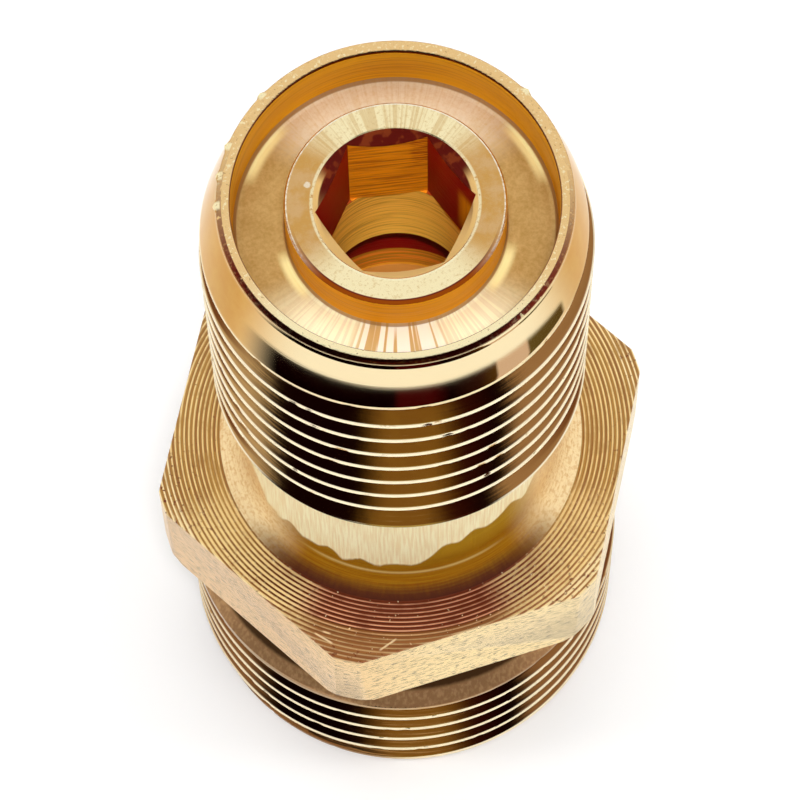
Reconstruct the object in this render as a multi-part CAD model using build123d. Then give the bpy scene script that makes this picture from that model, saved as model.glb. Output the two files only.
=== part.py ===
from build123d import *
import os

# Threaded adapter: one piece turned from brass hexagon bar, standing on its large end.
# The axis is Z, the origin is the middle of the large end's face, and the key socket's corners lie along X.

# Large end, with the major diameter of an M20 x 1.5 thread and a relief groove under the hexagon
large_thread_radius = 10.0
large_thread_length = 7.95
large_end_chamfer = 0.8
large_relief_depth = 1.0
large_relief_length = 1.95

# Spanner hexagon, turned from the key socket, with its corners rounded off to a cylinder
hexagon_across_flats = 19.9
hexagon_corner_radius = 11.17
hexagon_height = 5.55
hexagon_turn = 11.15

# Neck between the hexagon and the small thread, flaring out where it meets the hexagon
neck_undercut = 1.0
neck_length = 8.75
neck_flare_spread = 1.12
neck_flare_rise = 1.66

# Small end, with the major diameter of an M16 x 1.5 thread and a long shoulder, a cone with a slight bulge
small_thread_radius = 8.0
small_thread_length = 11.9
shoulder_rise = 3.13
shoulder_bulge = 0.05

# Rim: the wall round the face recess, with a narrow flat lip, bevelled outside, on a shallow step above the shoulder
rim_wall = 1.46
lip_width = 0.32
lip_bevel_width = 0.24
lip_bevel_drop = 0.11
lip_step = 0.27
lip_edge_chamfer = 0.09

# Face recess, with the collar of the key socket standing in its middle
recess_depth = 2.28
recess_corner_round = 0.3
collar_radius = 4.43
collar_drop = 0.27
collar_edge_chamfer = 0.23
collar_foot_round = 0.2

# Key socket, countersunk at its mouth, and the bore that gives its cutter room
socket_across_flats = 5.55
socket_depth = 5.05
socket_mouth_chamfer = 0.525
bore_clearance = 0.275
bore_length = 4.45

# Undercut chamber behind the bore, and the passage on to the large end
chamber_radius = 4.5
chamber_length = 6.05
passage_radius = 3.87
passage_chamfer = 0.5

# Heights up the axis
large_thread_top = large_end_chamfer + large_thread_length
large_relief_bottom = large_thread_top + large_relief_depth
hexagon_bottom = large_relief_bottom + large_relief_length
hexagon_top = hexagon_bottom + hexagon_height
neck_flare_top = hexagon_top + neck_flare_rise
neck_top = hexagon_top + neck_length
small_thread_top = neck_top + small_thread_length
step_height = small_thread_top + shoulder_rise
rim_height = step_height + lip_step
recess_floor = rim_height - recess_depth
collar_top = rim_height - collar_drop
socket_floor = collar_top - socket_depth
bore_bottom = socket_floor - bore_length
chamber_bottom = bore_bottom - chamber_length

# Radii that follow from the sizes above
large_relief_radius = large_thread_radius - large_relief_depth
neck_radius = small_thread_radius - neck_undercut
neck_foot_radius = neck_radius + neck_flare_spread
recess_radius = small_thread_radius - rim_wall
lip_radius = recess_radius + lip_width
step_radius = lip_radius + lip_bevel_width
socket_apothem = socket_across_flats / 2
socket_mouth_radius = socket_apothem + socket_mouth_chamfer
bore_radius = socket_apothem + bore_clearance

# Turned outside and face, solid to the axis
with BuildSketch(Plane.XZ) as turned_section:
    with BuildLine():
        large_end = Polyline(
            (0, 0),
            (large_thread_radius - large_end_chamfer, 0),
            (large_thread_radius, large_end_chamfer),
            (large_thread_radius, large_thread_top),
            (large_relief_radius, large_relief_bottom),
            (large_relief_radius, hexagon_top),
            (neck_foot_radius, hexagon_top),
        )
        flare = TangentArc((neck_radius, neck_flare_top), large_end @ 1, tangent=(0, -1))
        small_end = Polyline(
            flare @ 0,
            (neck_radius, neck_top),
            (small_thread_radius, neck_top),
            (small_thread_radius, small_thread_top),
        )
        shoulder = SagittaArc(small_end @ 1, (step_radius, step_height), shoulder_bulge)
        rim = Polyline(
            shoulder @ 1,
            (step_radius, rim_height - lip_bevel_drop),
            (lip_radius, rim_height),
            (recess_radius + lip_edge_chamfer, rim_height),
            (recess_radius, rim_height - lip_edge_chamfer),
            (recess_radius, recess_floor + recess_corner_round),
        )
        recess_corner = TangentArc(
            rim @ 1,
            (recess_radius - recess_corner_round, recess_floor),
            tangent=(0, -1),
        )
        collar_foot = TangentArc(
            (collar_radius, recess_floor + collar_foot_round),
            (collar_radius + collar_foot_round, recess_floor),
            tangent=(0, -1),
        )
        Line(recess_corner @ 1, collar_foot @ 1)
        Polyline(
            collar_foot @ 0,
            (collar_radius, collar_top - collar_edge_chamfer),
            (collar_radius - collar_edge_chamfer, collar_top),
            (0, collar_top),
            (0, 0),
        )
    make_face()

# Bored inside, from the socket's floor down to the large end's face
with BuildSketch(Plane.XZ) as bored_section:
    with BuildLine():
        Polyline(
            (0, socket_floor),
            (bore_radius, socket_floor),
            (bore_radius, bore_bottom),
            (chamber_radius, bore_bottom),
            (chamber_radius, chamber_bottom),
            (passage_radius, chamber_bottom),
            (passage_radius, passage_chamfer),
            (passage_radius + passage_chamfer, 0),
            (0, 0),
            close=True,
        )
    make_face()

# Bar section left standing for the spanner
with BuildSketch(Plane.XY.offset(hexagon_bottom)) as hexagon_section:
    RegularPolygon(hexagon_across_flats / 2, 6, major_radius=False, rotation=hexagon_turn)
    Circle(hexagon_corner_radius, mode=Mode.INTERSECT)

# Socket for the key, its corners along X
with BuildSketch(Plane.XY.offset(socket_floor)) as socket_section:
    RegularPolygon(socket_apothem, 6, major_radius=False)

with BuildPart() as adapter:
    revolve(turned_section.sketch, axis=Axis.Z)
    extrude(hexagon_section.sketch, amount=hexagon_height)
    revolve(bored_section.sketch, axis=Axis.Z, mode=Mode.SUBTRACT)
    extrude(socket_section.sketch, amount=socket_depth, mode=Mode.SUBTRACT)
    with Locations((0, 0, collar_top - socket_mouth_chamfer)):
        Cone(
            socket_apothem,
            socket_mouth_radius,
            socket_mouth_chamfer,
            align=(Align.CENTER, Align.CENTER, Align.MIN),
            mode=Mode.SUBTRACT,
        )

os.makedirs("parts", exist_ok=True)
export_step(adapter.part, "parts/adapter_body.step")
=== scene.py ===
import bpy
import bmesh
from math import atan2, cos, degrees, hypot, pi, radians, sin
from mathutils import Matrix, Vector, noise


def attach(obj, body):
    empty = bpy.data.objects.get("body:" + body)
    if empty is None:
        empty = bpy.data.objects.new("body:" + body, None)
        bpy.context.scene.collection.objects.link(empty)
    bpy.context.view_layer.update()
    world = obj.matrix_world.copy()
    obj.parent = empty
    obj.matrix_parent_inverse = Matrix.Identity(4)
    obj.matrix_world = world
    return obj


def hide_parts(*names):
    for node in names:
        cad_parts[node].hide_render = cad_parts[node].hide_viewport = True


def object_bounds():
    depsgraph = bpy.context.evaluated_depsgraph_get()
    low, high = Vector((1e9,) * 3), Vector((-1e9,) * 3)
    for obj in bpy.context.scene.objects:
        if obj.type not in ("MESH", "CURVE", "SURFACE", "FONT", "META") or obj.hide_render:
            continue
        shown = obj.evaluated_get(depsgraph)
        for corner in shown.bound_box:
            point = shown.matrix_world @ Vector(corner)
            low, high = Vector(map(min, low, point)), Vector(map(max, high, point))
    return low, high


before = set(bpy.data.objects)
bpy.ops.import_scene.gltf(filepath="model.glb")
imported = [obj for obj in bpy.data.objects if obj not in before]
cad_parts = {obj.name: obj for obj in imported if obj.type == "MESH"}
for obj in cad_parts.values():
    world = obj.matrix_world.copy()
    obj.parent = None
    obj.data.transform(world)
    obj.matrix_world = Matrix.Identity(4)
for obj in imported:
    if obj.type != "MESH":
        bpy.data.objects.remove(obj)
cadLow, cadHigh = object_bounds()
mm = 0.001
rimHeight = cadHigh.z / mm  # the part is modelled in millimetres, then brought to metres
viewTurn = 5.46  # the photograph looks along +Y turned this many degrees to the right
print("frame loaded, rim at", round(rimHeight, 2), "mm")


# node maths: a wrapped socket that takes part in Python expressions

class Shade:
    def __init__(self, tree, socket=None):
        self.tree, self.socket = tree, socket

    def node(self, kind, settings={}, inputs={}, output=0):
        made = self.tree.nodes.new(kind)
        for key, value in settings.items():
            if key == "stops":
                while len(made.color_ramp.elements) < len(value):
                    made.color_ramp.elements.new(0.5)
                for stop, (place, colour) in zip(made.color_ramp.elements, value):
                    stop.position, stop.color = place, (*colour, 1)
            else:
                setattr(made, key, value)
        for key, value in inputs.items():
            if isinstance(value, Shade):
                self.tree.links.new(value.socket, made.inputs[key])
            else:
                made.inputs[key].default_value = value
        return Shade(self.tree, made.outputs[output])

    def math(self, operation, *values):
        return self.node("ShaderNodeMath", {"operation": operation}, dict(enumerate(values)))

    def __add__(self, other): return self.math("ADD", self, other)
    def __radd__(self, other): return self.math("ADD", other, self)
    def __sub__(self, other): return self.math("SUBTRACT", self, other)
    def __rsub__(self, other): return self.math("SUBTRACT", other, self)
    def __mul__(self, other): return self.math("MULTIPLY", self, other)
    def __rmul__(self, other): return self.math("MULTIPLY", other, self)
    def __truediv__(self, other): return self.math("DIVIDE", self, other)
    def __pow__(self, other): return self.math("POWER", self, other)
    def atLeast(self, low): return self.math("MAXIMUM", self, low)
    def magnitude(self): return self.math("ABSOLUTE", self)
    def fraction(self): return self.math("FRACT", self)
    def cosine(self): return self.math("COSINE", self)
    def arctan(self, x): return self.math("ARCTAN2", self, x)

    def ramp(self, low, high):  # 0 at low, 1 at high, smooth between
        return self.node("ShaderNodeMapRange", {"interpolation_type": "SMOOTHSTEP"},
                         {"Value": self, "From Min": low, "From Max": high})

    def pick(self, stops):  # a colour ramp
        return self.node("ShaderNodeValToRGB", {"stops": stops}, {"Fac": self})

    def blend(self, first, second):  # the first colour at 0, the second at 1
        colours = [c if isinstance(c, Shade) else (*c, 1) for c in (first, second)]
        return self.node("ShaderNodeMix", {"data_type": "RGBA"}, {0: self, 6: colours[0], 7: colours[1]}, 2)

    def along(self, direction):
        return self.node("ShaderNodeVectorMath", {"operation": "DOT_PRODUCT"}, {0: self, 1: direction}, "Value")

    def parts(self):
        split = self.node("ShaderNodeSeparateXYZ", {}, {0: self})
        return [Shade(self.tree, s) for s in split.socket.node.outputs]

    def noise(self, vector, scale=1.0, detail=2.0, roughness=0.5):
        return self.node("ShaderNodeTexNoise", {}, {"Vector": vector, "Scale": scale, "Detail": detail,
                                                    "Roughness": roughness})

    def vector(self, x, y, z):
        return self.node("ShaderNodeCombineXYZ", {}, {0: x, 1: y, 2: z})


# shared helpers for turned shapes

columns = 300  # divisions round the axis


def ramp(low, high, value):
    t = min(max((value - low) / (high - low), 0.0), 1.0)
    return t * t * (3 - 2 * t)


def arc(centre, radius, start, end, count):
    angles = [radians(start + (end - start) * i / count) for i in range(count + 1)]
    return [(centre[0] + radius * cos(a), centre[1] + radius * sin(a)) for a in angles]


def join(bm, part):
    mesh = bpy.data.meshes.new("joined")
    part.to_mesh(mesh)
    part.free()
    bm.from_mesh(mesh)
    bpy.data.meshes.remove(mesh)


def spun(chain, rise):
    part = bmesh.new()
    verts = [part.verts.new((r, 0, z)) for r, z in chain]
    edges = [part.edges.new(pair) for pair in zip(verts, verts[1:])]
    bmesh.ops.spin(part, geom=verts + edges, cent=(0, 0, 0), axis=(0, 0, 1),
                   dvec=(0, 0, rise / columns), angle=2 * pi, steps=columns,
                   use_merge=rise == 0, use_duplicate=False)
    return part


def setRadius(vert, r, z):
    scale = r / hypot(vert.co.x, vert.co.y)
    vert.co = (vert.co.x * scale, vert.co.y * scale, z)


# threads: one pitch of the profile wound up the axis, then trimmed by the turned outline

threadShape = {
    "pitch": 1.5,
    "depth": 0.92,
    "crestFlat": 0.22,
    "crestRound": 0.035,
    "rootFlat": 0.22,
    "rootRound": 0.05,
    "crestSlack": 0.03,  # how far below a crest's flat its edge still belongs to it
    "nick": 0.03,  # deepest wear of a crest
    "nickRate": (14, 2.2),  # nicks round the axis and up it
    "nickRange": (0.3, 0.6),
}


def pitchProfile(major):
    s = threadShape
    half = s["pitch"] / 2
    crest = s["crestFlat"] / 2
    root = s["rootFlat"] / 2
    flank = (half - crest - root) / s["depth"]
    lower = [
        (0, major - s["depth"]),
        (root, major - s["depth"] + s["rootRound"] * 0.3),
        (root + s["rootRound"] * flank * 2, major - s["depth"] + s["rootRound"] * 2),
        (half - crest - s["depth"] * 0.45 * flank, major - s["depth"] * 0.45),
        (half - crest - s["crestRound"] * flank, major - s["crestRound"]),
        (half - crest + s["crestRound"] * 0.4, major),
    ]
    upper = [(s["pitch"] - z, r) for z, r in reversed(lower)]
    return lower + upper


def windThread(bm, major, frontCrest, low, high, outline, cutDepth):
    # frontCrest is a crest's height where the thread faces the camera
    s = threadShape
    pitch = s["pitch"]
    start = frontCrest + pitch * (90 + viewTurn) / 360 - pitch / 2
    while start + pitch > low[1]:
        start -= pitch
    turns = int((high[1] - start) / pitch) + 1
    part = spun([(r, start + z) for z, r in pitchProfile(major)], pitch)
    once = part.verts[:] + part.edges[:] + part.faces[:]
    for k in range(1, turns):
        copied = bmesh.ops.duplicate(part, geom=once)["geom"]
        bmesh.ops.translate(part, vec=(0, 0, pitch * k),
                            verts=[v for v in copied if isinstance(v, bmesh.types.BMVert)])
    for vert in part.verts:
        r, z = hypot(vert.co.x, vert.co.y), vert.co.z
        azimuth = atan2(vert.co.y, vert.co.x)
        if z <= low[1]:
            r, z = low
        elif z >= high[1]:
            r, z = high
        else:
            turned = (azimuth / (2 * pi)) % 1.0
            groove = round((z - start) / pitch - turned)
            grooveHeight = start + pitch * (groove + turned)
            cut = cutDepth(grooveHeight, azimuth)
            r = major - (major - r) * cut
            away = z - grooveHeight
            crestTop = pitch / 2 + s["crestFlat"] / 2
            upTo = z  # a crest stays upright, at the radius of its upper edge
            if away > pitch - crestTop - s["crestSlack"] and cut > 0.5:
                upTo = grooveHeight + crestTop
            elif away < crestTop - pitch + s["crestSlack"] and cutDepth(grooveHeight - pitch, azimuth) > 0.5:
                upTo = max(z, grooveHeight + crestTop - pitch)
            around, upwards = s["nickRate"]
            worn = cut * ramp(*s["nickRange"], noise.noise((azimuth * around, z * upwards, major)))
            r = min(r, outline(upTo) - s["nick"] * worn)
        setRadius(vert, r, z)
    join(bm, part)


largeEnd = {
    "major": 10.0,
    "frontCrest": rimHeight - 34.96,
    "face": (9.55, 0.0),
    "faceRing": (6.5, 0.0),
    "chamferTop": 0.5,
    "threadTop": 7.98,
    "lastGroove": 7.7,
    "lastGrooveFade": 0.3,
    "tear": 0.1,  # how unevenly the last groove ends
    "fineTear": 0.05,
    "relief": (9.0, 9.75),
    "reliefRing": (9.0, 10.6),
    "hexagonFoot": (9.0, 11.7),
    "passage": 3.87,
    "passageRing": 13.0,
    "passageChamfer": 0.5,
}


def chamferSlope():  # radius lost for each millimetre up the chamfer above the large thread
    s = largeEnd
    return (s["major"] - s["relief"][0]) / (s["relief"][1] - s["threadTop"])


def largeOutline(z):
    s = largeEnd
    bottom = s["face"][0] + (s["major"] - s["face"][0]) * z / s["chamferTop"]
    top = s["major"] - (z - s["threadTop"]) * chamferSlope()
    return min(s["major"], bottom, top)


def largeCut(height, azimuth):  # the groove fades out, unevenly, before the chamfer
    s = largeEnd
    torn = s["tear"] * noise.noise((azimuth * 5, 0.0, 4.0)) + s["fineTear"] * noise.noise((azimuth * 19, 0.0, 7.0))
    return 1 - ramp(s["lastGroove"], s["lastGroove"] + s["lastGrooveFade"], height + torn)


def buildLargeEnd(bm):
    s = largeEnd
    windThread(bm, s["major"], s["frontCrest"], s["face"], s["relief"], largeOutline, largeCut)
    join(bm, spun([s["relief"], s["reliefRing"], s["hexagonFoot"]], 0))
    join(bm, spun([(s["passage"], s["passageChamfer"]), (s["passage"] + s["passageChamfer"], 0),
                   s["faceRing"], s["face"]], 0))


smallEnd = {
    "major": 8.0,
    "frontCrest": rimHeight - 4.22,
    "landEdge": (8.0, 26.0),
    "landFlank": [(7.98, 26.012), (7.55, 26.264)],
    "runOut": [(7.08, 26.54), (7.08, 26.66)],  # floor of the turned groove that the thread runs out into
    "runOutTop": 27.2,
    "runOutFade": (-0.5, -0.15),
    "shoulderStart": 37.9,
    "shoulderRise": 3.13,
    "shoulderRun": 0.9,
    "shoulderBulge": 0.05,
    "shoulderRings": (40.68, 40.86, 40.99),
    "threadTop": 40.5,
    "firstGroove": rimHeight - 2.44,
    "firstGrooveFade": (-0.25, 0.05),
}


def smallOutline(z):
    s = smallEnd
    if z > s["shoulderStart"]:
        return shoulderRadius(z)
    deep = s["runOut"][1]
    slope = (s["major"] - deep[0]) / (s["runOutTop"] - deep[1])
    return min(s["major"], deep[0] + (z - deep[1]) * slope)


def shoulderRadius(z):
    s = smallEnd
    up = (z - s["shoulderStart"]) / s["shoulderRise"]
    return s["major"] - s["shoulderRun"] * up + 4 * s["shoulderBulge"] * up * (1 - up)


def smallCut(height, azimuth):
    s = smallEnd
    begun = 1 - ramp(*s["firstGrooveFade"], height - s["firstGroove"])
    return begun * ramp(*s["runOutFade"], height - s["runOutTop"])


def buildSmallEnd(bm):
    s = smallEnd
    top = (shoulderRadius(s["threadTop"]), s["threadTop"])
    windThread(bm, s["major"], s["frontCrest"], s["runOut"][1], top, smallOutline, smallCut)
    join(bm, spun([s["landEdge"]] + s["landFlank"] + s["runOut"], 0))


neck = {
    "radius": 7.0,
    "foot": (8.12, 17.25),
    "flareTop": 18.91,
    "top": 26.0,
    "rings": 4,
}


def buildNeck(bm):
    s = neck
    spread, rise = s["foot"][0] - s["radius"], s["flareTop"] - s["foot"][1]
    bend = (spread ** 2 + rise ** 2) / (2 * spread)
    centre = (s["radius"] + bend, s["flareTop"])
    end = degrees(atan2(s["foot"][1] - centre[1], s["foot"][0] - centre[0])) % 360
    flare = arc(centre, bend, 180, end, 8)
    chain = [(s["radius"], s["top"] - (s["top"] - s["flareTop"]) * i / s["rings"]) for i in range(s["rings"])]
    join(bm, spun([smallEnd["landEdge"]] + chain + flare, 0))


face = {
    "lip": [(7.11, 0.262), (7.10, 0.2), (7.10, 0.11), (7.03, 0.075), (6.92, 0.018), (6.86, 0.0),
            (6.74, 0.0), (6.63, 0.0), (6.565, 0.03), (6.54, 0.1)],  # radius and drop below the rim
    "recess": 6.54,
    "recessRings": (0.7, 1.3),  # drops below the rim
    "recessFloor": rimHeight - 2.28,
    "recessRound": 0.3,
    "floorRings": (6.19, 5.9, 5.5, 5.1, 4.68, 4.63),
    "collar": 4.43,
    "collarFoot": 0.2,
    "collarRing": 1.0,  # height above the recess floor
    "collarTop": rimHeight - 0.27,
    "collarEdge": [(4.43, 0.10), (4.42, 0.06), (4.36, 0.0), (4.22, 0.0), (3.85, 0.0), (3.5, 0.0),
                   (3.32, 0.0), (3.28, 0.03)],  # radius and drop below the collar's top
    "socketMouth": 3.3,
    "socketApothem": 2.775,
    "socketRings": (0.4, 2.5),  # drops below the collar's top
    "socketFloor": 35.98,
    "bore": 3.05,
    "boreRing": 2.5,  # height above the bore's bottom
    "boreBreak": 0.12,
    "boreBottom": 31.53,
    "chamber": 4.5,
    "chamberRing": 3.0,
    "chamberBreak": 0.1,
    "chamberBottom": 25.48,
    "ledgeBreak": 0.05,
    "burrs": [153.6, 164.5, 175.2, 132.4, 36.0],  # azimuths, in degrees from X
    "burrHeight": 0.12,
    "burrSpan": 2.2,
    "burrBand": (6.88, 7.12),
    "burrDrop": 0.23,
    "marker": 2.0,  # radius that marks the rings to be drawn out to the hexagon
}


def socketRadius(azimuth):
    return face["socketApothem"] / cos(azimuth % (pi / 3) - pi / 6)


def buildFace(bm):
    s = face
    rim, floor, collarTop = rimHeight, s["recessFloor"], s["collarTop"]
    bore, boreBottom, chamber, ledge = s["bore"], s["boreBottom"], s["chamber"], s["chamberBottom"]
    passage = largeEnd["passage"]
    shoulder = [(shoulderRadius(z), z) for z in (smallEnd["threadTop"], *smallEnd["shoulderRings"])]
    lip = [(r, rim - drop) for r, drop in s["lip"]]
    wall = [(s["recess"], rim - drop) for drop in s["recessRings"]] + [(s["recess"], floor + s["recessRound"])]
    corner = arc((s["recess"] - s["recessRound"], floor + s["recessRound"]), s["recessRound"], 0, -90, 3)[1:]
    floorRings = [(r, floor) for r in s["floorRings"]]
    collarFoot = arc((s["collar"] + s["collarFoot"], floor + s["collarFoot"]), s["collarFoot"], 270, 180, 2)[1:]
    collar = [(s["collar"], floor + s["collarRing"])] + [(r, collarTop - drop) for r, drop in s["collarEdge"]]
    socket = [(s["marker"], collarTop - drop) for drop in s["socketRings"]] + [(s["marker"], s["socketFloor"])]
    inside = [(bore, s["socketFloor"]), (bore, boreBottom + s["boreRing"]), (bore, boreBottom + s["boreBreak"]),
              (bore + s["boreBreak"], boreBottom), (chamber, boreBottom),
              (chamber, ledge + s["chamberRing"]), (chamber, ledge + s["chamberBreak"]),
              (chamber - s["chamberBreak"], ledge), (passage + s["ledgeBreak"], ledge),
              (passage, ledge - s["ledgeBreak"]), (passage, largeEnd["passageRing"]),
              (passage, largeEnd["passageChamfer"])]
    part = spun(shoulder + lip + wall + corner + floorRings + collarFoot + collar + socket + inside, 0)
    for vert in part.verts:
        r, z = hypot(vert.co.x, vert.co.y), vert.co.z
        azimuth = degrees(atan2(vert.co.y, vert.co.x))
        if s["burrBand"][0] < r < s["burrBand"][1] and z > rim - s["burrDrop"]:
            near = min(abs(azimuth - at) for at in s["burrs"])
            setRadius(vert, r + s["burrHeight"] * (1 - ramp(0, s["burrSpan"], near)), z)
        if abs(r - s["marker"]) < 0.1:
            side = socketRadius(atan2(vert.co.y, vert.co.x))
            if z > collarTop - 1.0:
                z = collarTop - (s["socketMouth"] - side)
            setRadius(vert, side, z)
    join(bm, part)


hexagon = {
    "top": 17.25,
    "bottom": 11.7,
    "apothem": 9.95,
    "corner": 11.17,
    "turn": 11.15 + 30,  # direction of a flat, in degrees from X
    "edge": 0.06,
    "cornerBreak": 0.04,
    "footRise": 0.55,  # the bevel under its corners
    "footRun": 0.28,
    "coarsePitch": 0.205,
    "coarseCount": 11,
    "coarseDepth": 0.035,
    "finePitch": 0.115,
    "fineDepth": 0.014,
}


def buildHexagon(bm):
    s = hexagon
    r = neck["foot"][0]
    chain = [neck["foot"]]
    for i in range(s["coarseCount"]):
        chain += [(r + s["coarsePitch"] * 0.3, s["top"] - s["coarseDepth"]),
                  (r + s["coarsePitch"] * 0.75, s["top"] - s["coarseDepth"] * 0.6),
                  (r + s["coarsePitch"], s["top"])]
        r += s["coarsePitch"]
    while r + s["finePitch"] < s["corner"]:
        chain += [(r + s["finePitch"] * 0.5, s["top"] - s["fineDepth"]), (r + s["finePitch"], s["top"])]
        r += s["finePitch"]
    chain += [(s["corner"] - s["cornerBreak"], s["top"]), (s["corner"], s["top"] - s["cornerBreak"]),
              (s["corner"], s["bottom"] + s["footRise"]), (s["corner"] - s["footRun"], s["bottom"]),
              largeEnd["hexagonFoot"]]
    part = spun(chain, 0)
    for k in range(6):
        a = radians(s["turn"] + 60 * k)
        out, up = Vector((cos(a), sin(a), 0)), Vector((0, 0, 1))
        flat = out * s["apothem"]
        cuts = [(flat + up * (s["top"] - s["edge"]), out + up),
                (flat + up * (s["bottom"] + s["edge"]), out - up), (flat, out)]
        for point, normal in cuts:
            geom = part.verts[:] + part.edges[:] + part.faces[:]
            made = bmesh.ops.bisect_plane(part, geom=geom, dist=1e-5, plane_co=point, plane_no=normal,
                                          clear_outer=True)
            edges = [e for e in made["geom_cut"] if isinstance(e, bmesh.types.BMEdge) and e.is_boundary]
            bmesh.ops.edgeloop_fill(part, edges=edges)
    join(bm, part)


crease, threadCrease = 28, 8  # sharp edges, in degrees; on the threads the flanks stay true cones


def onThread(f):
    middle = f.calc_center_median()
    r, z = hypot(middle.x, middle.y), middle.z
    large = z < largeEnd["relief"][1] and r > largeEnd["relief"][0] - 0.1
    small = smallEnd["landEdge"][1] < z < smallEnd["firstGroove"] + 0.5 and r > neck["radius"] - 0.1
    return large or small


def buildAdapter():
    bm = bmesh.new()
    buildLargeEnd(bm)
    buildHexagon(bm)
    buildNeck(bm)
    buildSmallEnd(bm)
    buildFace(bm)
    bmesh.ops.remove_doubles(bm, verts=bm.verts, dist=0.002)
    bmesh.ops.dissolve_degenerate(bm, edges=bm.edges, dist=0.0005)
    bmesh.ops.recalc_face_normals(bm, faces=bm.faces)
    print("adapter:", len(bm.faces), "faces,", sum(not e.is_manifold for e in bm.edges), "edges not closed")
    for f in bm.faces:
        f.smooth = True
        f.material_index = finishes.index(finishOf(f))
    for e in bm.edges:
        if e.is_manifold:
            limit = threadCrease if all(onThread(f) for f in e.link_faces) else crease
            e.smooth = e.calc_face_angle() < radians(limit)
    bmesh.ops.scale(bm, vec=(mm, mm, mm), verts=bm.verts)
    mesh = bpy.data.meshes.new("adapterBody")
    bm.to_mesh(mesh)
    bm.free()
    piece = bpy.data.objects.new("adapterBody", mesh)
    bpy.context.scene.collection.objects.link(piece)
    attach(piece, "root")
    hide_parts("adapter_body")
    return piece


# brass finishes, all read from the part's own axis in millimetres

def axisCoordinates(shade):
    point = shade.node("ShaderNodeTexCoord", {}, {}, "Object")
    x, y, z = [c / mm for c in point.parts()]
    radius = (x * x + y * y) ** 0.5
    return x, y, z, radius, y.arctan(x)


def brass(name, roughness, metallic=1.0):
    mat = bpy.data.materials.new(name)
    mat.use_nodes = True
    shader = mat.node_tree.nodes["Principled BSDF"]
    shader.inputs["Metallic"].default_value = metallic
    shader.inputs["Roughness"].default_value = roughness
    return mat, shader, Shade(mat.node_tree)


def finish(mat, shader, colour, height, bump, **varied):
    shade = Shade(mat.node_tree)
    normal = shade.node("ShaderNodeBump", {}, {"Strength": 1.0, "Distance": bump * mm, "Height": height})
    links = {"Base Color": colour, "Normal": normal, **varied}
    for key, value in links.items():
        mat.node_tree.links.new(value.socket, shader.inputs[key])
    return mat


def facing(azimuth, spread, centre=0.0, core=0.5):  # 1 round the centre, 0 past the spread in degrees
    turned = azimuth + radians(90 + viewTurn - centre)
    return turned.cosine().ramp(cos(radians(spread)), cos(radians(spread * core)))


def between(value, low, high, soft):  # 1 from low to high
    return value.ramp(low - soft, low + soft) * value.ramp(high + soft, high - soft)


shoulderFinish = {
    "front": (0.80, 0.66, 0.40),
    "side": (0.55, 0.27, 0.055),
    "sidePale": (0.60, 0.345, 0.085),
}


def shoulderReflectionTone(shade, x, y, z, azimuth):  # painted reflection: cream at the front, golden tan with random blotches away from it
    s = shoulderFinish
    blotch = shade.noise(shade.vector(x * 1.1, y * 1.1, z), 1.0, 4.0, 0.65)
    sides = (blotch.ramp(0.35, 0.7) * 0.5).blend(s["side"], s["sidePale"])
    return facing(azimuth, 66, 6).blend(sides, s["front"])


threadFinish = {
    "flank": (0.42, 0.22, 0.075),
    "flankPale": (0.50, 0.30, 0.11),
    "flankRightDarkReflection": (0.26, 0.11, 0.03),
    "edgeTint": (1.0, 0.94, 0.80),
    "root": (0.16, 0.05, 0.012),
    "crest": (0.96, 0.84, 0.60),
    "chamfer": (0.34, 0.18, 0.08),
    "chamferPale": (0.47, 0.27, 0.12),
    "shadow": (0.07, 0.03, 0.01),
    "large": (20, 19),  # heights between which these start or end
    "rootFade": (37.8, 37.0),
    "dullRidge": (7.3, 7.5),
    "landEdge": (38.3, 38.6),
    "chamferEdge": (8.05, 8.15),
    "shadowEdge": (8.9, 9.15),
    "roughness": 0.09,
}


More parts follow.
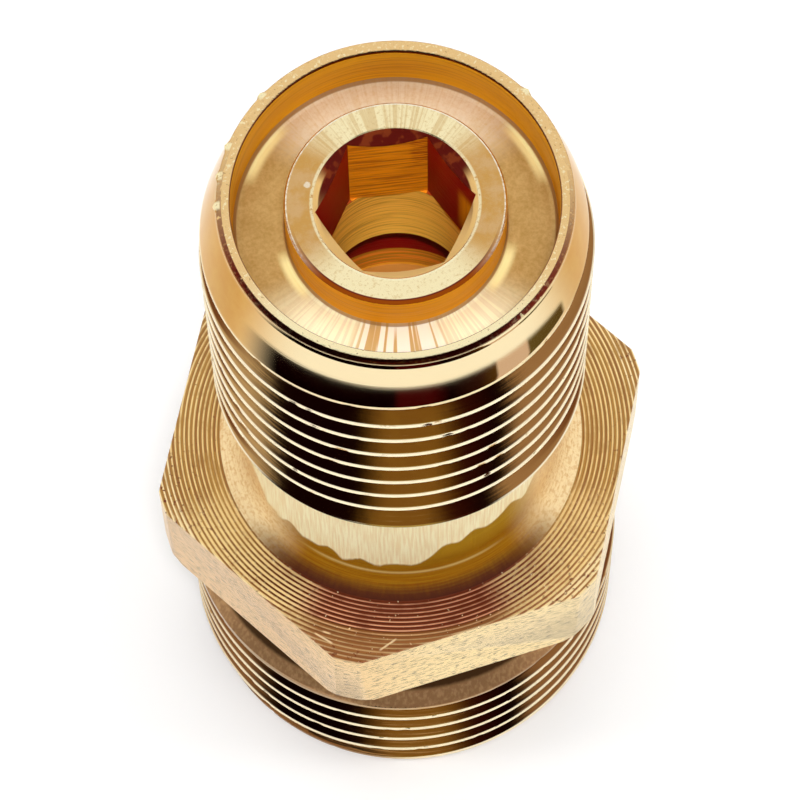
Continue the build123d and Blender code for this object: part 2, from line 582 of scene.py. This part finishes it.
def threadBrass():
    s = threadFinish
    mat, shader, shade = brass("threadBrass", s["roughness"])
    shader.inputs["Specular Tint"].default_value = (*s["edgeTint"], 1)
    x, y, z, radius, azimuth = axisCoordinates(shade)
    large, small = largeEnd, smallEnd
    big = z.ramp(*s["large"])
    up = ((z - small["shoulderStart"]) / small["shoulderRise"]).atLeast(0.0)
    cone = up * small["shoulderRun"] - up * (1 - up) * small["shoulderBulge"] * 4
    tip = (z - large["threadTop"]).atLeast(0.0) * chamferSlope() * big
    depth = small["major"] + (large["major"] - small["major"]) * big - cone - tip - radius  # below the turned outline
    marks = shade.noise(shade.vector(radius * 9, azimuth * 2, z * 9), 1.0, 3.0)
    grain = shade.noise(shade.vector(azimuth * 60, radius * 4, z * 3), 1.0, 3.0)
    worn = shade.noise(shade.vector(azimuth * 9, 1.0, z * 2), 1.0, 3.0, 0.6)
    # painted reflection: flanks paler towards the left and darker towards the right, and on the large thread painted
    # near black either side of the front
    left = facing(azimuth, 100, -95)
    flank = (left * (0.7 - big * 0.7) + worn.ramp(0.45, 0.7) * 0.3).blend(s["flank"], s["flankPale"])
    flank = (facing(azimuth, 70, 80) * 0.7).blend(flank, s["flankRightDarkReflection"])
    flank = ((facing(azimuth, 50, -52) * 0.75 + facing(azimuth, 50, 58) * 0.5) * big).blend(flank, s["root"])
    shadedSides = (1 - facing(azimuth, 70)) * (1 - facing(azimuth, 80, 180))  # painted shade: the roots go dark towards the sides, and the deepest parts of every root a little
    colour = (depth.ramp(0.20 - shadedSides * 0.12, 0.42 - shadedSides * 0.30) * shadedSides * z.ramp(*s["rootFade"])
              + depth.ramp(0.4, 0.8) * 0.3).blend(flank, s["root"])
    dull = z.ramp(*s["dullRidge"]) * big  # the top ridge of the large thread
    # painted highlight: the crests are pale, dimmer at the sides of the large thread and on its top ridge
    crest = depth.ramp(0.085, 0.03) * (1 - dull * 0.85)
    colour = crest.blend(colour, (worn.ramp(0.62, 0.75) + shadedSides * big * 0.5).blend(s["crest"], s["flankPale"]))
    land = z.ramp(*s["landEdge"])
    colour = land.blend(colour, shoulderReflectionTone(shade, x, y, z, azimuth))
    chamfer = (z + grain * 0.25).ramp(*s["chamferEdge"]) * big
    colour = chamfer.blend(colour, grain.ramp(0.4, 0.7).blend(s["chamfer"], s["chamferPale"]))
    under = (z + left * 0.2 + grain * 0.15).ramp(*s["shadowEdge"]) * big  # dark under the hexagon
    colour = under.blend(colour, s["shadow"])
    return finish(mat, shader, colour, (marks + worn * 0.5) * (1 - land), 0.006,
                  Roughness=s["roughness"] + chamfer * 0.3 - land * 0.04)


faceFinish = {
    "cream": (0.92, 0.80, 0.48),
    "gold": (0.62, 0.40, 0.15),
    "collarGold": (0.60, 0.33, 0.09),
    "tan": (0.38, 0.22, 0.052),
    "pink": (0.74, 0.56, 0.36),
    "backFloor": (0.77, 0.63, 0.45),
    "highlightStreak": (0.98, 0.93, 0.62),
    "dents": [(-3.39, 1.17, 0.17)],  # place and size
    "glint": (1.0, 0.90, 0.42),
    "glints": [(-122, 6.2), (120, 6.2), (-62, 4.7), (64, 4.7)],  # degrees from the front, and radius
    "white": (0.95, 0.90, 0.74),
    "lip": (0.80, 0.54, 0.24),
    "brownSpecksAndShade": (0.36, 0.19, 0.06),
    "edgeShade": (0.16, 0.02, 0.01),
    "wall": (0.30, 0.06, 0.004),
    "outsideEdge": (7.07, 7.09),  # radii between which the shoulder takes over
    "lipBand": (6.5, 7.08),
    "floorEdge": (39.9, 39.6),  # heights between which these start or end
    "collarEdge": (40.9, 41.0),
    "burrEdge": (40.98, 41.05),
    "roughness": 0.18,
}


def faceBrass():
    s = faceFinish
    mat, shader, shade = brass("faceBrass", s["roughness"])
    shader.inputs["Specular Tint"].default_value = (*threadFinish["edgeTint"], 1)
    x, y, z, radius, azimuth = axisCoordinates(shade)
    rings = shade.noise(shade.vector(radius * 14, azimuth * 0.8, z * 14), 1.0, 2.0)
    blotch = shade.noise(shade.vector(x * 1.1, y * 1.1, z), 1.0, 4.0, 0.65)
    grain = shade.noise(shade.vector(x * 6, y * 6, z * 6), 1.0, 3.0, 0.7)
    chatter = shade.noise(shade.vector(azimuth * 24, radius * 0.12, 3.0), 1.0, 1.0)
    fineChatter = shade.noise(shade.vector(azimuth * 55, radius * 0.3, 1.0), 1.0, 2.0)
    outside = radius.ramp(*s["outsideEdge"])
    floor = z.ramp(*s["floorEdge"]) * (1 - outside)
    lip = between(radius, *s["lipBand"], 0.01) * (1 - floor)
    onCollar = z.ramp(*s["collarEdge"])
    front, back = facing(azimuth, 66), facing(azimuth, 62, 180)
    # collar, golden at its sides and faceted by chatter at the back, painted cream at the front as a reflection, with
    # a painted highlight along its outer edge
    golden = (blotch.ramp(0.4, 0.65) * 0.3).blend(s["collarGold"], s["pink"])
    faceted = (chatter.ramp(0.45, 0.6) * 0.5).blend(s["cream"], s["gold"])
    top = back.blend(front.blend(golden, s["cream"]), faceted)
    top = (grain.ramp(0.5, 0.72) * 0.5).blend(top, s["gold"])
    edge = between(radius, 4.31, 4.44, 0.03) * (0.35 + grain.ramp(0.4, 0.6) * 0.5)
    top = edge.blend(top, s["white"])
    # tool marks across the recess floor, their painted highlight streaks bold towards the front; the floor's tone
    # changes from front to back as a painted reflection
    plain = (blotch.ramp(0.3, 0.75) * 0.35 + grain.ramp(0.35, 0.65) * 0.3).blend(s["tan"], s["gold"])
    farther = (fineChatter.ramp(0.4, 0.65) * 0.3 + grain.ramp(0.4, 0.65) * 0.3).blend(s["backFloor"], s["gold"])
    plain = back.blend(plain, farther)
    highlightStreaks = (fineChatter.ramp(0.42, 0.6) * 0.4).blend(s["highlightStreak"], s["pink"])
    boldHighlight = chatter.ramp(0.46, 0.54).blend(s["white"], s["gold"])
    highlightStreaks = facing(azimuth, 24).blend(highlightStreaks, boldHighlight)
    colour = floor.blend(top, front.blend(plain, highlightStreaks))
    colour = outside.blend(colour, shoulderReflectionTone(shade, x, y, z, azimuth))
    # rim lip with brown specks, paler at the front as a painted reflection, and painted shade on the dark edges of
    # the collar and the lip
    rimTop = (front + grain.ramp(0.56, 0.66) * 0.8).blend(s["lip"], s["cream"])
    rimTop = (grain.ramp(0.36, 0.31) * 0.7).blend(rimTop, s["brownSpecksAndShade"])
    fleck = shade.noise(shade.vector(azimuth * 18, radius * 3, 8.0), 1.0, 2.0).ramp(0.62, 0.66)
    fleck = fleck * (1 - facing(azimuth, 50))
    bevelShade = radius.ramp(6.87, 6.90) * facing(azimuth, 118, -4) * (0.75 + grain.ramp(0.35, 0.5) * 0.25) * (1 - fleck)
    colour = lip.blend(colour, bevelShade.blend(rimTop, s["edgeShade"]))
    for at in face["burrs"]:
        burr = facing(azimuth, 1.9, at + 90 + viewTurn, 0.3) * between(radius, 6.93, 7.3, 0.03)
        burr = burr * grain.ramp(0.3, 0.45) * z.ramp(*s["burrEdge"])
        colour = burr.blend(colour, s["cream"])
    for atX, atY, size in s["dents"]:
        off = ((x - atX) * (x - atX) + (y - atY) * (y - atY)) ** 0.5
        colour = ((off + grain * 0.16).ramp(size + 0.08, size) * onCollar * 0.6).blend(colour, s["white"])
    # painted highlight round the socket's mouth, away from the back
    mouthEdge = between(radius, 3.2, 3.40, 0.04) * onCollar * (1 - back) * grain.ramp(0.3, 0.5)
    colour = (mouthEdge * 0.6).blend(colour, s["highlightStreak"])
    # painted shade: dark lines on the collar's edge towards the front and along the lip's inner edge
    chamfer = between(radius, 4.205, 4.5, 0.01) * z.ramp(40.7, 40.75) * facing(azimuth, 80)
    colour = chamfer.blend(colour, between(radius, 4.19, 4.27, 0.015).blend(s["wall"], s["edgeShade"]))
    colour = (lip * between(radius, 6.52, 6.585, 0.01) * 0.85).blend(colour, s["edgeShade"])
    for at, ring in s["glints"]:  # pale light caught in the corners of the recess
        glint = facing(azimuth, 16, at, 0.2) * between(radius, ring - 0.20, ring + 0.20, 0.16) * floor
        colour = (glint * 0.85).blend(colour, s["glint"])
    # painted shade at the foot of the collar and in the recess corner
    foot = (between(radius, 4.42, 4.52, 0.02) + between(radius, 6.36, 6.6, 0.03)) * floor
    colour = (foot * 0.85).blend(colour, s["brownSpecksAndShade"])
    relief = rings * 0.5 + grain * (0.5 + lip)
    return finish(mat, shader, colour, relief * (1 - outside * 0.95), 0.008,
                  Roughness=s["roughness"] + floor * 0.15 - outside * 0.13, Metallic=1 - floor * 0.6)


neckFinish = {
    "pale": (1.0, 0.90, 0.58),
    "stripe": (0.86, 0.62, 0.30),
    "flare": (0.27, 0.085, 0.001),
    "flareSideLit": (1.0, 0.78, 0.44),
    "flarePale": (0.45, 0.25, 0.012),
    "flareLine": (0.80, 0.62, 0.24),
    "flareGrain": (0.70, 0.36, 0.10),
    "foot": (0.08, 0.02, 0.01),
    "relief": (0.10, 0.05, 0.02),
    "flareEdge": (22.4, 22.15),  # heights between which these start or end
    "flareRise": (18.2, 20.0),
    "lineBand": (18.2, 18.32),
    "footEdge": (17.95, 17.35),
    "reliefEdge": (14, 12),
    "roughness": 0.42,
    "metallic": 0.15,
    "sideMetallic": 0.65,
}


def neckBrass():
    s = neckFinish
    mat, shader, shade = brass("neckBrass", s["roughness"], s["metallic"])
    shader.inputs["Specular IOR Level"].default_value = 0.05
    _, _, z, _, azimuth = axisCoordinates(shade)
    rings = shade.noise(shade.vector(azimuth * 1.5, 0.0, z * 22), 1.0, 3.0, 0.7)
    lines = shade.noise(shade.vector(azimuth * 70, z * 0.4, 0.0), 1.0, 2.0)
    fleck = shade.noise(shade.vector(azimuth * 30, 0.0, z * 9), 1.0, 3.0, 0.7)
    edge = shade.noise(shade.vector(azimuth * 4, 0.0, 5.0), 1.0, 1.0, 0.5)
    torn = shade.noise(shade.vector(azimuth * 40, 0.0, z * 2), 1.0, 3.0, 0.6)
    front = facing(azimuth, 60, 2, 0.6)
    left, right = facing(azimuth, 100, -70), facing(azimuth, 50, 55)
    height = z + edge * 3.6 + torn * 0.16 + facing(azimuth, 80) * 0.7 + left - right * 1.3
    flare = height.ramp(*s["flareEdge"])  # painted reflection: the flare colour, dark at the front and painted lit at the sides, starts lower at the front and the left
    colour = (lines.ramp(0.35, 0.65) * 0.6 + fleck.ramp(0.55, 0.75) * 0.3).blend(s["pale"], s["stripe"])
    deep = (rings.ramp(0.35, 0.65) * 0.5 + z.ramp(*s["flareRise"]) * 0.5).blend(s["flare"], s["flarePale"])
    speckled = (fleck.ramp(0.45, 0.62) * 0.45 + rings.ramp(0.5, 0.65) * 0.3).blend(s["flareSideLit"], s["flareGrain"])
    colour = flare.blend(colour, front.blend(speckled, deep))
    line = between(z + rings * 0.1, *s["lineBand"], 0.06) * facing(azimuth, 42) * 0.5
    colour = line.blend(colour, s["flareLine"])
    # painted shade where the neck meets the hexagon, at the front
    foot = (z + torn * 0.2).ramp(*s["footEdge"]) * facing(azimuth, 62)
    colour = foot.blend(colour, s["foot"])
    # painted shade in the groove under the hexagon
    colour = z.ramp(*s["reliefEdge"]).blend(colour, s["relief"])
    return finish(mat, shader, colour, rings + lines + fleck, 0.02,
                  Metallic=s["metallic"] + flare * (1 - front) * s["sideMetallic"])


hexTopFinish = {
    "cusp": (0.95, 0.76, 0.41),
    "valley": (0.42, 0.22, 0.05),
    "frontCusp": (0.92, 0.48, 0.32),
    "frontValley": (0.16, 0.028, 0.009),
    "corner": (0.37, 0.15, 0.05),
    "scratch": (1.0, 0.80, 0.52),
    "scratches": [((-4.86, -9.10), (-4.17, -9.65)), ((-2.11, -10.22), (-1.36, -9.80)), ((-4.5, -9.06), (-4.2, -9.2))],
    "scratchWidth": 0.06,
    "innerEdge": (9.9, 9.5),  # radii between which these start or end
    "burrEdge": (8.9, 9.7),
    "cornerEdge": (10.2, 10.6),
    "roughness": 0.3,
    "metallic": 0.55,
}


def stroke(x, y, start, end, width):  # 1 along a straight scratch
    span = Vector(end) - Vector(start)
    ahead = span.normalized()
    dx, dy = x - start[0], y - start[1]
    along = dx * ahead.x + dy * ahead.y
    off = dy * ahead.x - dx * ahead.y
    return between(along, 0, span.length, 0.08) * off.magnitude().ramp(width, width * 0.4)


def hexTopBrass():
    s, h = hexTopFinish, hexagon
    mat, shader, shade = brass("hexTopBrass", s["roughness"], s["metallic"])
    x, y, _, radius, azimuth = axisCoordinates(shade)
    phase = ((radius - neck["foot"][0]) / h["coarsePitch"]).fraction()
    wobble = shade.noise(shade.vector(x * 0.9, y * 0.9, 0.0), 1.0, 4.0, 0.6)
    fine = shade.noise(shade.vector(radius * 7, azimuth * 0.9, 0.0), 1.0, 2.0, 0.5)
    specks = shade.noise(shade.vector(x * 5, y * 5, 2.0), 1.0, 2.0, 0.6)
    ring = phase.ramp(0.5, 0.75) * phase.ramp(1.0, 0.9) * (0.45 + wobble.ramp(0.3, 0.55) * 0.55)
    # painted reflection: towards the front the inner ring valleys are painted near black and their cusps pink, and
    # the outer valleys brown
    front = facing(azimuth, 62)
    inner = radius.ramp(*s["innerEdge"])
    valley = (front * inner).blend(s["valley"], s["frontValley"])
    valley = (front * (1 - inner)).blend(valley, s["corner"])
    valley = (fine.ramp(0.35, 0.65) * 0.45).blend(valley, s["frontValley"])
    cusp = (front * inner).blend(s["cusp"], s["frontCusp"])
    highlightZones = facing(azimuth, 26, -48) + facing(azimuth, 26, 48)  # painted highlight, mottled, where the rings meet the front flats
    mottle = shade.noise(shade.vector(x * 5, y * 5, 7.0), 1.0, 3.0, 0.7)
    wide = phase.ramp(0.28, 0.5) * phase.ramp(1.0, 0.93) * (0.75 + wobble.ramp(0.3, 0.55) * 0.25)
    ring = ring * (1 - front * (1 - inner) * 0.6) * (1 - highlightZones) + wide * highlightZones
    ring = ring + highlightZones * mottle.ramp(0.56, 0.62) * 0.3
    colour = ring.blend(valley, highlightZones.blend(cusp, s["cusp"]))
    for start, end in s["scratches"]:
        colour = (stroke(x, y, start, end, s["scratchWidth"]) * 0.8).blend(colour, s["scratch"])
    # torn metal along the front edges and at the corners
    burrs = shade.noise(shade.vector(x * 4, y * 4, 9.0), 1.0, 3.0, 0.7).ramp(0.60, 0.64) * radius.ramp(*s["burrEdge"])
    burrs = burrs * (facing(azimuth, 34, -62) + facing(azimuth, 34, 62) + radius.ramp(*s["cornerEdge"]))
    colour = (burrs * 0.75).blend(colour, s["frontValley"])
    colour = (specks.ramp(0.68, 0.72) * front).blend(colour, s["scratch"])
    colour = (specks.ramp(0.30, 0.27) * 0.8).blend(colour, s["frontValley"])
    return finish(mat, shader, colour, fine + specks * 0.5, 0.012)


flatFinish = {
    "pale": (0.94, 0.73, 0.34),
    "paleLeftShade": (0.80, 0.50, 0.20),
    "drag": (0.52, 0.35, 0.14),
    "pit": (0.24, 0.15, 0.05),
    "roughness": 0.27,
}


def flatBrass():
    s = flatFinish
    mat, shader, shade = brass("flatBrass", s["roughness"])
    _, _, z, _, azimuth = axisCoordinates(shade)
    drag = shade.noise(shade.vector(azimuth * 8, z * 6, 0.0), 1.0, 5.0, 0.75)
    lines = shade.noise(shade.vector(azimuth * 3, z * 16, 3.0), 1.0, 2.0)
    pits = shade.noise(shade.vector(azimuth * 26, z * 9, 2.0), 1.0, 1.0)
    pit = pits.ramp(0.59, 0.64) * 0.75
    # painted shade: the flats towards the left are darker
    left = facing(azimuth, 100, -85)
    pale = left.blend(s["pale"], s["paleLeftShade"])
    colour = (drag.ramp(0.42, 0.68) * 0.45 + lines.ramp(0.5, 0.65) * 0.2).blend(pale, s["drag"])
    colour = pit.blend(colour, s["pit"])
    return finish(mat, shader, colour, drag * 0.6 + lines * 0.4 - pit, 0.010)


boreFinish = {
    "wall": (0.76, 0.35, 0.01),
    "collarWall": (0.68, 0.29, 0.004),
    "line": (0.48, 0.18, 0.01),
    "bore": (1.0, 0.53, 0.07),
    "socket": (0.90, 0.31, 0.008),
    "socketLine": (0.50, 0.11, 0.003),
    "sides": (0.24, 0.001, 0.002),
    "socketGleam": (0.70, 0.24, 0.004),
    "mouth": (0.56, 0.36, 0.13),
    "mouthBackShade": (0.065, 0.003, 0.001),
    "mouthPatch": (0.13, 0.02, 0.004),
    "crescentShadow": (0.24, 0.002, 0.003),
    "ring": (0.85, 0.24, 0.02),
    "edge": (1.0, 0.72, 0.36),
    "ledge": (0.40, 0.16, 0.03),
    "recessEdge": (5.0, 5.2),  # radii between which these start or end
    "boreEdge": (3.6, 3.5),
    "mouthEdge": (3.10, 3.04),
    "chamberEdge": (3.8, 3.9),
    "socketBottom": (35.9, 36.0),  # heights between which these start or end
    "streakRise": (37.6, 39.4),
    "gleamBand": (36.4, 39.4),
    "edgeBand": (31.45, 31.60),
    "chamberTop": (31.6, 31.5),
    "crescentBottom": (26.95, 27.1),
    "ledgeTop": (25.55, 25.5),
    "roughness": 0.45,
    "metallic": 0.2,
}


def boreBrass():
    s = boreFinish
    mat, shader, shade = brass("boreBrass", s["roughness"], s["metallic"])
    shader.inputs["Specular IOR Level"].default_value = 0.1
    x, y, z, radius, azimuth = axisCoordinates(shade)
    rings = shade.noise(shade.vector(azimuth * 1.0, radius * 9, z * 9), 1.0, 3.0, 0.6)
    cuts = shade.noise(shade.vector(azimuth * 0.9, 0.0, z * 7), 1.0, 3.0, 0.65)
    patch = shade.noise(shade.vector(x * 2, y * 2, 1.0), 1.0, 2.0)
    back = facing(azimuth, 74, 180, 0.8)
    within = radius.ramp(*s["boreEdge"])
    wall = within.blend(radius.ramp(*s["recessEdge"]).blend(s["collarWall"], s["wall"]), s["bore"])
    colour = (rings.ramp(0.45, 0.7) * 0.7).blend(wall, s["line"])
    # socket: only the back flat is golden, streaked at its right end; the other flats are painted dark as shade, with
    # a painted gleam on the right one
    socket = within * z.ramp(*s["socketBottom"])
    cut = cuts.ramp(0.4, 0.65).blend(s["socket"], s["socketLine"])
    flat = facing(azimuth, 30.3, 180 + viewTurn, 0.98).blend(s["sides"], cut)
    streaks = facing(azimuth, 14, 150 + viewTurn, 0.6) * z.ramp(*s["streakRise"]) * cuts.ramp(0.42, 0.6)
    flat = (streaks * 0.8).blend(flat, s["sides"])
    gleam = facing(azimuth, 24, 90 + viewTurn, 0.4) * between(z, *s["gleamBand"], 0.5) * patch.ramp(0.3, 0.45)
    flat = (gleam * 0.9).blend(flat, s["socketGleam"])
    colour = socket.blend(colour, flat)
    cone = z - radius - (face["collarTop"] - face["socketMouth"])
    mouth = between(cone, -0.04, 0.04, 0.01) * socket
    inner = radius.ramp(*s["mouthEdge"]) * (1 - facing(azimuth, 108))  # painted shade: the mouth is dark low down and towards the back
    mottled = patch.ramp(0.5, 0.6).blend(s["mouthBackShade"], s["mouthPatch"])
    colour = mouth.blend(colour, back.blend(inner.blend(s["mouth"], s["mouthBackShade"]), mottled))
    chamber = z.ramp(*s["chamberTop"]) * radius.ramp(*s["chamberEdge"])
    colour = chamber.blend(colour, rings.ramp(0.4, 0.6).blend(s["ring"], s["line"]))
    # painted shadow: a dark crescent high in the chamber
    colour = (chamber * z.ramp(*s["crescentBottom"])).blend(colour, s["crescentShadow"])
    # painted highlight along the bore's bottom edge
    boreEdge = between(z, *s["edgeBand"], 0.03) * radius.ramp(3.3, 3.2)
    colour = (boreEdge * 0.7).blend(colour, s["edge"])
    colour = (chamber * z.ramp(*s["ledgeTop"])).blend(colour, s["ledge"])
    return finish(mat, shader, colour, rings + cuts, 0.02)


finishes = [threadBrass, faceBrass, neckBrass, hexTopBrass, flatBrass, boreBrass]

finishBounds = {
    "mouth": 3.25,  # radius within which all is bore
    "chamber": (4.6, 35),  # radius, and the height up to which it is bore
    "face": 38.5,  # height above which the face starts
    "recess": 6.6,
    "neck": 17.3,
    "relief": (9.05, 9.7, 11.72),  # radius and heights of the groove under the hexagon
    "endFace": 1,
}


def finishOf(f):
    s = finishBounds
    middle = f.calc_center_median()
    r, z = hypot(middle.x, middle.y), middle.z
    steep = abs(f.normal.z) < 0.3
    chamber, chamberTop = s["chamber"]
    relief, reliefBottom, reliefTop = s["relief"]
    if r < s["mouth"] or (r < chamber and z < chamberTop):
        return boreBrass
    if onThread(f):
        return threadBrass
    if z > s["face"]:
        return boreBrass if steep and r < s["recess"] else faceBrass
    if z > s["neck"] or (r < relief and reliefBottom < z < reliefTop):
        return neckBrass
    if f.normal.z > 0.5 or z < s["endFace"]:
        return hexTopBrass
    return flatBrass


adapter = buildAdapter()
for make in finishes:
    adapter.data.materials.append(make())
print("finishes made:", len(finishes))


# floor, cards, light and camera

stage = {
    "worldLevel": 0.62,  # on the floor and the matt parts; the camera and the metal see white
    "floorWhite": (0.97, 0.97, 0.97),
    "floorLift": (0.06, 0.06, 0.06),  # what a camera or the metal sees of the sheet, above its own white
    "lampPower": 1.2,
    "keyPower": 0.98,
    "sidePower": 0.5,
    "snootPower": 14.2,  # narrow beam down the key socket
    "snootAngle": 0.95,
    "snootTarget": 39,  # height in millimetres
    "lampReach": 0.5,  # distance of the lamps round the part, in metres
    "paleSheet": 26.75,  # radius of the pale floor round the part, in millimetres
    "sheetEnd": 67.5,
    "cardElevation": 64.45,  # of the card in front of the part, which the shoulder and the threads reflect
    "darkCard": (0.010, 0.001, 0.002),
    "warmCard": (0.44, 0.32, 0.10),
    "redCard": (0.06, 0.012, 0.008),
    "flagStops": [(-100, (0.003, 0.0, 0.0)), (-2, (0.003, 0.0, 0.0)), (-1, (0.05, 0.002, 0.002)),
                  (14, (0.05, 0.002, 0.002)), (22, (0.003, 0.0, 0.0)), (36, (0.03, 0.008, 0.004)),
                  (44.5, (0.10, 0.045, 0.008)), (45, (0.78, 0.58, 0.50)), (61, (0.78, 0.58, 0.50)),
                  (61.5, (0.14, 0.10, 0.03)), (84, (0.14, 0.10, 0.03))],  # degrees from the front, and colour
    "flagInner": 24,  # the dark flag on the table, in millimetres
    "flagGrowth": 14,
    "flagRise": 0.2,
    "flagGap": 45,  # azimuth past which the flag starts farther out, at this radius too
}


def aim(azimuth, elevation):  # a direction, with azimuth to the right of the camera's side
    a, e = radians(azimuth - viewTurn), radians(elevation)
    return Vector((sin(a) * cos(e), -cos(a) * cos(e), sin(e)))


def seen(shade):  # 1 for what the camera sees, straight or in the metal
    camera = shade.node("ShaderNodeLightPath", {}, {}, "Is Camera Ray")
    glossy = shade.node("ShaderNodeLightPath", {}, {}, "Is Glossy Ray")
    return camera + glossy


def lightWorld():
    world = bpy.data.worlds.new("studio")
    bpy.context.scene.world = world
    world.use_nodes = True
    shade = Shade(world.node_tree)
    direction = shade.node("ShaderNodeTexCoord", {}, {}, "Generated")
    front = direction.along(aim(0, stage["cardElevation"]))
    side = direction.along(aim(90, 0))
    rise = direction.along(aim(0, stage["cardElevation"] + 90))
    card = side.ramp(-0.78, -0.64) * side.ramp(0.60, 0.48) * rise.ramp(-0.36, -0.32) * rise.ramp(0.48, 0.38)
    card = card * front.ramp(0.0, 0.2)
    warm = side.magnitude().ramp(0.30, 0.10) * rise.ramp(-0.03, -0.12)
    red = side.ramp(0.08, 0.24) * side.ramp(0.48, 0.28)
    dark = warm.blend(red.blend(stage["darkCard"], stage["redCard"]), stage["warmCard"])
    colour = card.blend((1, 1, 1), dark)
    level = stage["worldLevel"] + seen(shade) * (1 - stage["worldLevel"])
    background = world.node_tree.nodes["Background"]
    world.node_tree.links.new(colour.socket, background.inputs["Color"])
    world.node_tree.links.new(level.socket, background.inputs["Strength"])


def stageSheet(name, bm, mat):
    mesh = bpy.data.meshes.new(name)
    bm.to_mesh(mesh)
    bm.free()
    sheet = bpy.data.objects.new(name, mesh)
    bpy.context.scene.collection.objects.link(sheet)
    mesh.materials.append(mat)
    return sheet


def mattMaterial(name, colour):
    mat = bpy.data.materials.new(name)
    mat.use_nodes = True
    shader = mat.node_tree.nodes["Principled BSDF"]
    shader.inputs["Base Color"].default_value = (*colour, 1)
    shader.inputs["Roughness"].default_value = 1
    shader.inputs["Specular IOR Level"].default_value = 0
    shader.inputs["Emission Strength"].default_value = 1
    return mat, shader, Shade(mat.node_tree)


def floorMaterial():
    mat, shader, shade = mattMaterial("paleFloor", stage["floorWhite"])
    lift = seen(shade).blend((0, 0, 0), stage["floorLift"])
    mat.node_tree.links.new(lift.socket, shader.inputs["Emission Color"])
    return mat


def turnOf(azimuth):  # degrees from the front as a share of the full turn, 0.5 at the front
    return 0.5 + azimuth / 360


def flagMaterial():
    mat, shader, shade = mattMaterial("tableFlag", (0, 0, 0))
    x, y, _ = shade.node("ShaderNodeTexCoord", {}, {}, "Object").parts()
    radius = (x * x + y * y) ** 0.5 / mm
    c, s = cos(radians(viewTurn)), sin(radians(viewTurn))
    turned = (x * c - y * s).arctan(0 - (x * s + y * c)) / pi * 0.5 + 0.5
    colour = turned.pick([(turnOf(azimuth), tone) for azimuth, tone in stage["flagStops"]])
    cover = turned.ramp(turnOf(-80), turnOf(-56)) * turned.ramp(turnOf(86), turnOf(83))
    cover = cover * radius.ramp(stage["paleSheet"] - 0.3, stage["paleSheet"] + 0.3)
    gap = turned.ramp(turnOf(stage["flagGap"] - 1), turnOf(stage["flagGap"] + 2))
    cover = cover * (1 - gap * radius.ramp(stage["flagGap"] + 1, stage["flagGap"] - 1))
    away = (turned - 0.5) * 5.5  # the far edge bends in towards the sides
    cover = cover * (radius + away * away * 10).ramp(stage["sheetEnd"] + 1.2, stage["sheetEnd"] - 1.2)
    mat.node_tree.links.new(colour.socket, shader.inputs["Emission Color"])
    mat.node_tree.links.new(cover.socket, shader.inputs["Alpha"])
    return mat


def layStage():
    bm = bmesh.new()
    bmesh.ops.create_grid(bm, x_segments=1, y_segments=1, size=3.0)
    stageSheet("floor", bm, floorMaterial())
    bm = bmesh.new()
    bmesh.ops.create_circle(bm, segments=96, radius=stage["flagInner"] * mm)
    grown = bmesh.ops.extrude_edge_only(bm, edges=bm.edges[:])["geom"]
    bmesh.ops.scale(bm, vec=(stage["flagGrowth"], stage["flagGrowth"], 1),
                    verts=[v for v in grown if isinstance(v, bmesh.types.BMVert)])
    bmesh.ops.translate(bm, vec=(0, 0, stage["flagRise"] * mm), verts=bm.verts)
    flag = stageSheet("tableFlag", bm, flagMaterial())
    flag.visible_camera = flag.visible_diffuse = flag.visible_shadow = flag.visible_transmission = False


def hangLamp(name, kind, place, power):
    data = bpy.data.lights.new(name, kind)
    data.energy = power
    lamp = bpy.data.objects.new(name, data)
    bpy.context.scene.collection.objects.link(lamp)
    lamp.matrix_world = Matrix.Translation(place) @ place.to_track_quat("Z", "Y").to_matrix().to_4x4()
    lamp.visible_glossy = False
    return lamp


def hangDisk(name, place, power, size):
    disk = hangLamp(name, "AREA", place, power).data
    disk.shape, disk.size = "DISK", size


def hangLamps():
    reach = stage["lampReach"]
    hangDisk("overhead", Vector((0, 0.06, 0.9)), stage["lampPower"], 0.3)
    hangDisk("front", aim(4, 68.5) * reach, stage["keyPower"], 0.08)
    hangDisk("left", aim(-88, 34) * reach, stage["sidePower"], 0.15)
    hangDisk("right", aim(88, 34) * reach, stage["sidePower"], 0.15)
    snoot = hangLamp("snoot", "SPOT", aim(2, 68) * reach, stage["snootPower"])
    snoot.matrix_world = Matrix.Translation((0, 0, stage["snootTarget"] * mm)) @ snoot.matrix_world
    snoot.data.spot_size, snoot.data.spot_blend = radians(stage["snootAngle"]), 0.3
    snoot.data.shadow_soft_size = 0.004


lightWorld()
layStage()
hangLamps()

shot = {
    "place": (0.0, -69.483, 145.354),  # from the middle of the rim, in millimetres
    "elevation": 67.268,
    "roll": -1.317,
    "focal": 4081.83,  # in pixels
    "pixels": 800,  # width of the photograph
}


def setCamera():
    data = bpy.data.cameras.new("photoView")
    data.sensor_width = 36
    data.lens = shot["focal"] * data.sensor_width / shot["pixels"]
    data.clip_start, data.clip_end = 0.001, 10
    cam = bpy.data.objects.new("photoView", data)
    bpy.context.scene.collection.objects.link(cam)
    place = Vector(shot["place"]) + Vector((0, 0, rimHeight))
    cam.matrix_world = (Matrix.Rotation(radians(-viewTurn), 4, "Z") @ Matrix.Translation(place * mm)
                        @ Matrix.Rotation(radians(90 - shot["elevation"]), 4, "X")
                        @ Matrix.Rotation(radians(shot["roll"]), 4, "Z"))
    bpy.context.scene.camera = cam


setCamera()
bpy.context.scene.view_settings.view_transform = "Standard"
print("stage and camera set")
